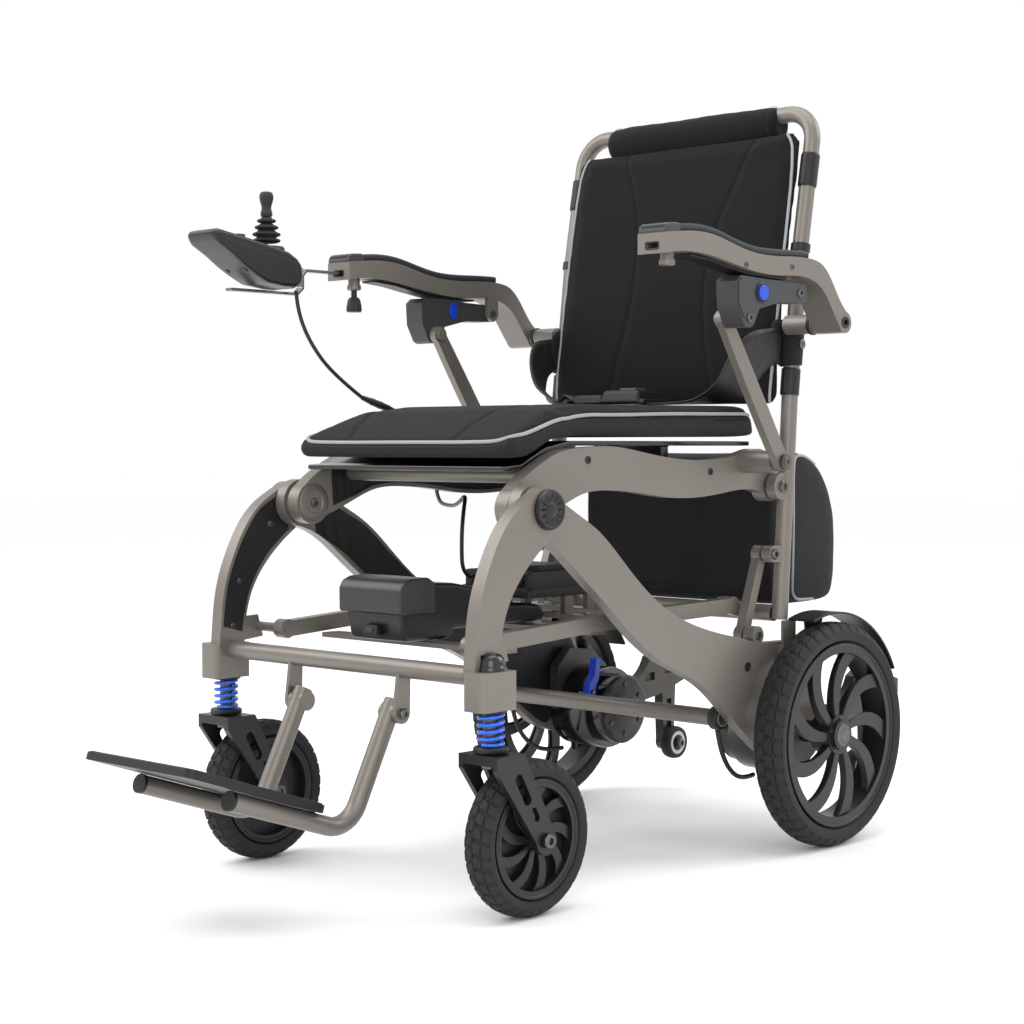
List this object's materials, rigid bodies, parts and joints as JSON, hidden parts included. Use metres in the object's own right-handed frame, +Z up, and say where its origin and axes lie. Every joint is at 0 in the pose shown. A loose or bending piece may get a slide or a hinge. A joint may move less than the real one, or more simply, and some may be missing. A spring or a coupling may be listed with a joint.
{
  "type": "folding power wheelchair",
  "caption": "Folding electric wheelchair with cast side frames, hub motors, sprung casters, padded seat and back, flip-up armrests, footrest and joystick.",
  "frame": {"origin": "on the floor, in the chair's middle plane, midway between the footplate's front edge and the tipping pegs", "axes": "+X forward, +Y to the occupant's left, +Z up"},
  "size_m": [1.202, 0.594, 0.999],
  "materials": {
    "rear_leg_frame": "satin titanium-coloured powder coat",
    "drive_motors": "black painted motor housings",
    "anti_tip_arms": "black coated casting",
    "mudguards": "black moulded plastic",
    "motor_cables": "black rubber",
    "seat_rails": "satin titanium-coloured powder coat",
    "seat_cross_tubes": "satin titanium-coloured powder coat",
    "seat_pan": "black moulded plastic",
    "seat_cushion": "black woven fabric",
    "seat_cable": "black rubber",
    "front_leg_frame": "satin titanium-coloured powder coat",
    "end_caps": "black moulded plastic",
    "caster_spring_left": "blue powder-coated spring steel",
    "caster_spring_right": "blue powder-coated spring steel",
    "base_frame": "satin titanium-coloured powder coat",
    "controller_box": "black moulded plastic",
    "controller_cable": "black rubber",
    "back_tube": "satin titanium-coloured powder coat",
    "back_pad": "black woven fabric",
    "head_roll": "black woven fabric",
    "storage_bag": "black woven fabric",
    "back_links": "satin titanium-coloured powder coat",
    "battery_pack": "black with a grey hood",
    "footrest_frame": "satin titanium-coloured powder coat",
    "footplate": "black moulded plastic",
    "joystick_mount": "chromed flat bar",
    "joystick_housing": "black moulded plastic",
    "joystick_cable": "black rubber",
    "cable_connector": "black moulded plastic",
    "joystick_boot": "black rubber",
    "joystick_lever": "black moulded plastic",
    "clamp_knob": "black moulded plastic",
    "armrest_left": "satin titanium-coloured powder coat",
    "arm_pad_left": "soft black padded cover",
    "arm_bracket_left": "black moulded plastic",
    "release_button_left": "blue",
    "strut_pin_left": "steel",
    "arm_strut_left": "satin titanium-coloured powder coat",
    "clutch_lever_left": "blue",
    "rear_rim_left": "black moulded plastic",
    "rear_tyre_left": "black solid rubber with block tread",
    "anti_tip_wheel_left": "black moulded plastic",
    "caster_stem_left": "steel",
    "caster_fork_left": "black coated casting",
    "caster_rim_left": "black moulded plastic",
    "caster_tyre_left": "black solid rubber with block tread",
    "armrest_right": "satin titanium-coloured powder coat",
    "arm_pad_right": "soft black padded cover",
    "arm_bracket_right": "black moulded plastic",
    "release_button_right": "blue",
    "strut_pin_right": "steel",
    "arm_strut_right": "satin titanium-coloured powder coat",
    "clutch_lever_right": "blue",
    "rear_rim_right": "black moulded plastic",
    "rear_tyre_right": "black solid rubber with block tread",
    "anti_tip_wheel_right": "black moulded plastic",
    "caster_stem_right": "steel",
    "caster_fork_right": "black coated casting",
    "caster_rim_right": "black moulded plastic",
    "caster_tyre_right": "black solid rubber with block tread"
  },
  "bodies": {
    "rear_frame": {"rear_leg_frame": "rear_leg_frame", "drive_motors": "drive_motors", "anti_tip_arms": "anti_tip_arms", "mudguards": "mudguards", "motor_cables": "motor_cables"},
    "seat_frame": {"seat_rails": "seat_rails", "seat_cross_tubes": "seat_cross_tubes", "seat_pan": "seat_pan", "seat_cushion": "seat_cushion", "seat_cable": "seat_cable"},
    "front_frame": {"front_leg_frame": "front_leg_frame", "end_caps": "end_caps", "caster_spring_left": "caster_spring_left", "caster_spring_right": "caster_spring_right"},
    "base_frame": {"base_frame": "base_frame", "controller_box": "controller_box", "controller_cable": "controller_cable"},
    "back_frame": {"back_tube": "back_tube", "back_pad": "back_pad", "head_roll": "head_roll", "storage_bag": "storage_bag"},
    "back_links": {"back_links": "back_links"},
    "battery": {"battery_pack": "battery_pack"},
    "footrest": {"footrest_frame": "footrest_frame", "footplate": "footplate"},
    "joystick_carrier": {"joystick_mount": "joystick_mount", "joystick_housing": "joystick_housing", "joystick_cable": "joystick_cable", "cable_connector": "cable_connector"},
    "joystick_gimbal": {"joystick_boot": "joystick_boot"},
    "joystick_stick": {"joystick_lever": "joystick_lever"},
    "clamp_knob": {"clamp_knob": "clamp_knob"},
    "armrest_left": {"armrest_left": "armrest_left", "arm_pad_left": "arm_pad_left"},
    "arm_bracket_left": {"arm_bracket_left": "arm_bracket_left"},
    "release_button_left": {"release_button_left": "release_button_left"},
    "strut_pin_left": {"strut_pin_left": "strut_pin_left"},
    "arm_strut_left": {"arm_strut_left": "arm_strut_left"},
    "clutch_lever_left": {"clutch_lever_left": "clutch_lever_left"},
    "rear_wheel_left": {"rear_rim_left": "rear_rim_left", "rear_tyre_left": "rear_tyre_left"},
    "anti_tip_wheel_left": {"anti_tip_wheel_left": "anti_tip_wheel_left"},
    "caster_stem_left": {"caster_stem_left": "caster_stem_left"},
    "caster_fork_left": {"caster_fork_left": "caster_fork_left"},
    "caster_wheel_left": {"caster_rim_left": "caster_rim_left", "caster_tyre_left": "caster_tyre_left"},
    "armrest_right": {"armrest_right": "armrest_right", "arm_pad_right": "arm_pad_right"},
    "arm_bracket_right": {"arm_bracket_right": "arm_bracket_right"},
    "release_button_right": {"release_button_right": "release_button_right"},
    "strut_pin_right": {"strut_pin_right": "strut_pin_right"},
    "arm_strut_right": {"arm_strut_right": "arm_strut_right"},
    "clutch_lever_right": {"clutch_lever_right": "clutch_lever_right"},
    "rear_wheel_right": {"rear_rim_right": "rear_rim_right", "rear_tyre_right": "rear_tyre_right"},
    "anti_tip_wheel_right": {"anti_tip_wheel_right": "anti_tip_wheel_right"},
    "caster_stem_right": {"caster_stem_right": "caster_stem_right"},
    "caster_fork_right": {"caster_fork_right": "caster_fork_right"},
    "caster_wheel_right": {"caster_rim_right": "caster_rim_right", "caster_tyre_right": "caster_tyre_right"}
  },
  "joints": [
    {"name": "seat_tilt", "type": "hinge", "parent": "rear_frame", "child": "seat_frame", "pos_m": [0.195, 0, 0.46], "axis": [0, 1, 0], "range_deg": [-4, 0]},
    {"name": "back_fold", "type": "hinge", "parent": "seat_frame", "child": "back_frame", "pos_m": [-0.29, 0, 0.479], "axis": [0, 1, 0], "range_deg": [0, 30], "deforming": ["back_pad", "seat_cushion", "joystick_cable", "controller_cable"]},
    {"name": "front_leg_fold", "type": "hinge", "parent": "seat_frame", "child": "front_frame", "pos_m": [0.195, 0, 0.46], "axis": [0, 1, 0], "range_deg": [0, 31]},
    {"name": "base_fold", "type": "hinge", "parent": "front_frame", "child": "base_frame", "pos_m": [0.251, 0, 0.303], "axis": [0, 1, 0], "range_deg": [-31, 0]},
    {"name": "back_link_fold", "type": "hinge", "parent": "back_frame", "child": "back_links", "pos_m": [-0.273, 0, 0.39], "axis": [0, 1, 0], "range_deg": [-53, 0]},
    {"name": "footrest_flip", "type": "hinge", "parent": "front_frame", "child": "footrest", "pos_m": [0.296, 0, 0.224], "axis": [0, -1, 0], "range_deg": [0, 80]},
    {"name": "battery_slide", "type": "slide", "parent": "base_frame", "child": "battery", "axis": [1, 0, 0], "range_m": [0, 0.1]},
    {"name": "armrest_flip_left", "type": "hinge", "parent": "back_frame", "child": "armrest_left", "pos_m": [-0.307, 0.275, 0.693], "axis": [0, -1, 0], "range_deg": [0, 90]},
    {"name": "bracket_fold_left", "type": "hinge", "parent": "armrest_left", "child": "arm_bracket_left", "pos_m": [-0.219, 0.262, 0.725], "axis": [0, -1, 0], "range_deg": [-101, 0]},
    {"name": "release_press_left", "type": "slide", "parent": "arm_bracket_left", "child": "release_button_left", "axis": [0, -1, 0], "range_m": [0, 0.003], "stiffness_N_per_m": 150, "springref_m": -0.003},
    {"name": "strut_pin_turn_left", "type": "hinge", "parent": "seat_frame", "child": "strut_pin_left", "pos_m": [-0.227, 0.24, 0.512], "axis": [0, 1, 0], "range_deg": [0, 41]},
    {"name": "strut_swing_left", "type": "hinge", "parent": "strut_pin_left", "child": "arm_strut_left", "pos_m": [-0.227, 0.252, 0.512], "axis": [0, -1, 0], "range_deg": [0, 37]},
    {"name": "clutch_turn_left", "type": "hinge", "parent": "rear_frame", "child": "clutch_lever_left", "pos_m": [-0.283, 0.121, 0.178], "axis": [0, 1, 0], "range_deg": [0, 40]},
    {"name": "rear_wheel_spin_left", "type": "hinge", "parent": "rear_frame", "child": "rear_wheel_left", "pos_m": [-0.339, 0.254, 0.1495], "axis": [0, 1, 0], "continuous": true},
    {"name": "anti_tip_wheel_spin_left", "type": "hinge", "parent": "rear_frame", "child": "anti_tip_wheel_left", "pos_m": [-0.535, 0.168, 0.073], "axis": [0, 1, 0], "continuous": true},
    {"name": "caster_travel_left", "type": "slide", "parent": "front_frame", "child": "caster_stem_left", "axis": [0, 0, 1], "range_m": [0, 0.012], "stiffness_N_per_m": 16000, "springref_m": -0.012, "deforming": ["caster_spring_left"]},
    {"name": "caster_swivel_left", "type": "hinge", "parent": "caster_stem_left", "child": "caster_fork_left", "pos_m": [0.29, 0.234, 0.19], "axis": [0, 0, 1], "continuous": true},
    {"name": "caster_spin_left", "type": "hinge", "parent": "caster_fork_left", "child": "caster_wheel_left", "pos_m": [0.231, 0.234, 0.09], "axis": [0, 1, 0], "continuous": true},
    {"name": "armrest_flip_right", "type": "hinge", "parent": "back_frame", "child": "armrest_right", "pos_m": [-0.307, -0.275, 0.693], "axis": [0, -1, 0], "range_deg": [0, 90]},
    {"name": "bracket_fold_right", "type": "hinge", "parent": "armrest_right", "child": "arm_bracket_right", "pos_m": [-0.219, -0.262, 0.725], "axis": [0, -1, 0], "range_deg": [-101, 0]},
    {"name": "release_press_right", "type": "slide", "parent": "arm_bracket_right", "child": "release_button_right", "axis": [0, 1, 0], "range_m": [0, 0.003], "stiffness_N_per_m": 150, "springref_m": -0.003},
    {"name": "strut_pin_turn_right", "type": "hinge", "parent": "seat_frame", "child": "strut_pin_right", "pos_m": [-0.227, -0.24, 0.512], "axis": [0, 1, 0], "range_deg": [0, 41]},
    {"name": "strut_swing_right", "type": "hinge", "parent": "strut_pin_right", "child": "arm_strut_right", "pos_m": [-0.227, -0.252, 0.512], "axis": [0, -1, 0], "range_deg": [0, 37]},
    {"name": "clutch_turn_right", "type": "hinge", "parent": "rear_frame", "child": "clutch_lever_right", "pos_m": [-0.283, -0.121, 0.178], "axis": [0, 1, 0], "range_deg": [0, 40]},
    {"name": "rear_wheel_spin_right", "type": "hinge", "parent": "rear_frame", "child": "rear_wheel_right", "pos_m": [-0.339, -0.254, 0.1495], "axis": [0, 1, 0], "continuous": true},
    {"name": "anti_tip_wheel_spin_right", "type": "hinge", "parent": "rear_frame", "child": "anti_tip_wheel_right", "pos_m": [-0.535, -0.168, 0.073], "axis": [0, 1, 0], "continuous": true},
    {"name": "caster_travel_right", "type": "slide", "parent": "front_frame", "child": "caster_stem_right", "axis": [0, 0, 1], "range_m": [0, 0.012], "stiffness_N_per_m": 16000, "springref_m": -0.012, "deforming": ["caster_spring_right"]},
    {"name": "caster_swivel_right", "type": "hinge", "parent": "caster_stem_right", "child": "caster_fork_right", "pos_m": [0.29, -0.234, 0.19], "axis": [0, 0, 1], "continuous": true},
    {"name": "caster_spin_right", "type": "hinge", "parent": "caster_fork_right", "child": "caster_wheel_right", "pos_m": [0.231, -0.234, 0.09], "axis": [0, 1, 0], "continuous": true},
    {"name": "joystick_reach", "type": "slide", "parent": "armrest_right", "child": "joystick_carrier", "axis": [1, 0, 0], "range_m": [0, 0.03]},
    {"name": "joystick_drive", "type": "hinge", "parent": "joystick_carrier", "child": "joystick_gimbal", "pos_m": [0.201, -0.258, 0.798], "axis": [0, 1, 0], "range_deg": [-12, 12], "stiffness_Nm_per_rad": 0.6, "deforming": ["joystick_boot"]},
    {"name": "joystick_steer", "type": "hinge", "parent": "joystick_gimbal", "child": "joystick_stick", "pos_m": [0.201, -0.258, 0.798], "axis": [1, 0, 0], "range_deg": [-12, 12], "stiffness_Nm_per_rad": 0.4, "deforming": ["joystick_boot"]},
    {"name": "clamp_knob_turn", "type": "hinge", "parent": "armrest_right", "child": "clamp_knob", "pos_m": [0.033, -0.275, 0.736], "axis": [0, 0, 1], "continuous": true}
  ],
  "couplings": [
    {"joint": "seat_tilt", "follows": "back_fold", "ratio": -0.11342},
    {"joint": "front_leg_fold", "follows": "back_fold", "ratio": 1},
    {"joint": "base_fold", "follows": "back_fold", "ratio": -1},
    {"joint": "back_link_fold", "follows": "back_fold", "ratio": -1.7468},
    {"joint": "bracket_fold_left", "follows": "armrest_flip_left", "ratio": -1.1098},
    {"joint": "strut_pin_turn_left", "follows": "back_fold", "ratio": 1.3277},
    {"joint": "strut_swing_left", "follows": "armrest_flip_left", "ratio": 0.39984},
    {"joint": "bracket_fold_right", "follows": "armrest_flip_right", "ratio": -1.1098},
    {"joint": "strut_pin_turn_right", "follows": "back_fold", "ratio": 1.3277},
    {"joint": "strut_swing_right", "follows": "armrest_flip_right", "ratio": 0.39984}
  ]
}
